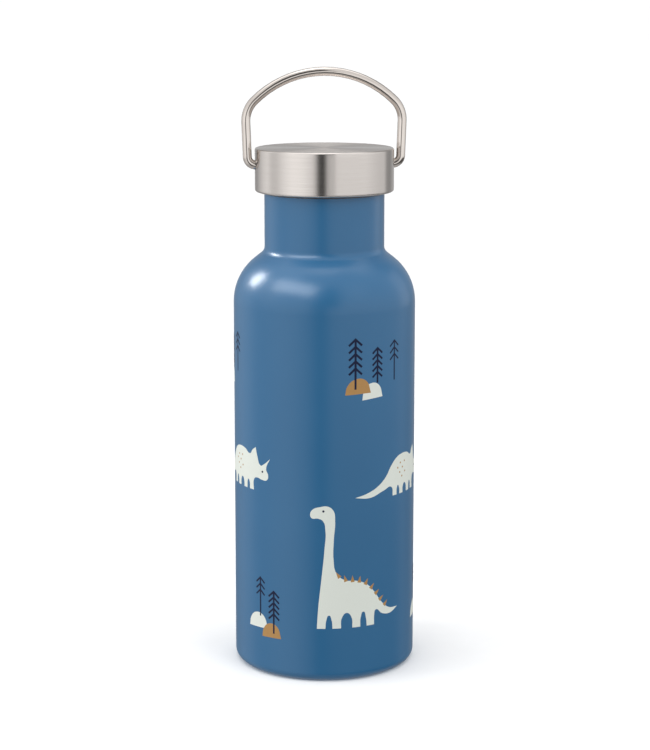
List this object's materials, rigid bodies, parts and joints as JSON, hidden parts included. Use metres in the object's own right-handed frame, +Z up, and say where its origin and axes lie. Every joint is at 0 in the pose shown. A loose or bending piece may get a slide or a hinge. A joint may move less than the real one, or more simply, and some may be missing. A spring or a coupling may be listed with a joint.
{
  "type": "kids water bottle",
  "caption": "Insulated steel drinking bottle for children, with a screw lid and a swinging wire bail to carry it by.",
  "frame": {"origin": "centre of the foot, on the surface that the bottle stands on", "axes": "+Z up the bottle's axis to the lid; the bail's two pins lie along X; the middle of the print faces -Y, turned 8 degrees towards -X"},
  "size_m": [0.073, 0.073, 0.241],
  "materials": {
    "coated_steel": "satin",
    "print_white": "matte",
    "print_ochre": "matte",
    "print_navy": "matte",
    "brushed_steel": "satin",
    "bare_steel": "satin",
    "polished_wire": "polished",
    "silicone": "matte",
    "white_pp": "satin",
    "foam": "matte",
    "sealing_glass": "gloss",
    "getter_powder": "matte"
  },
  "bodies": {
    "bottle": {"outer_shell": "coated_steel", "liner": "bare_steel", "liner_bottom": "bare_steel", "base_cup": "bare_steel", "base_disc": "brushed_steel", "sealing_glass": "sealing_glass", "getter_tray": "bare_steel", "getter_pill": "getter_powder"},
    "seal": {"seal_ring": "silicone"},
    "lid": {"lid_shell": "brushed_steel", "thread_insert": "white_pp", "foam_pad": "foam"},
    "bail": {"bail_handle": "polished_wire"}
  },
  "joints": [
    {"name": "lid_lift", "type": "slide", "parent": "bottle", "child": "seal", "axis": [0, 0, 1], "range_m": [0, 0.02]},
    {"name": "lid_turn", "type": "hinge", "parent": "seal", "child": "lid", "pos_m": [0, 0, 0.2], "axis": [0, 0, 1], "range_deg": [0, 1800]},
    {"name": "bail_swing", "type": "hinge", "parent": "lid", "child": "bail", "pos_m": [0, 0, 0.2024], "axis": [1, 0, 0], "range_deg": [-134, 134]}
  ],
  "couplings": [
    {"joint": "lid_lift", "follows": "lid_turn", "m_per_rad": 0.00063662}
  ]
}
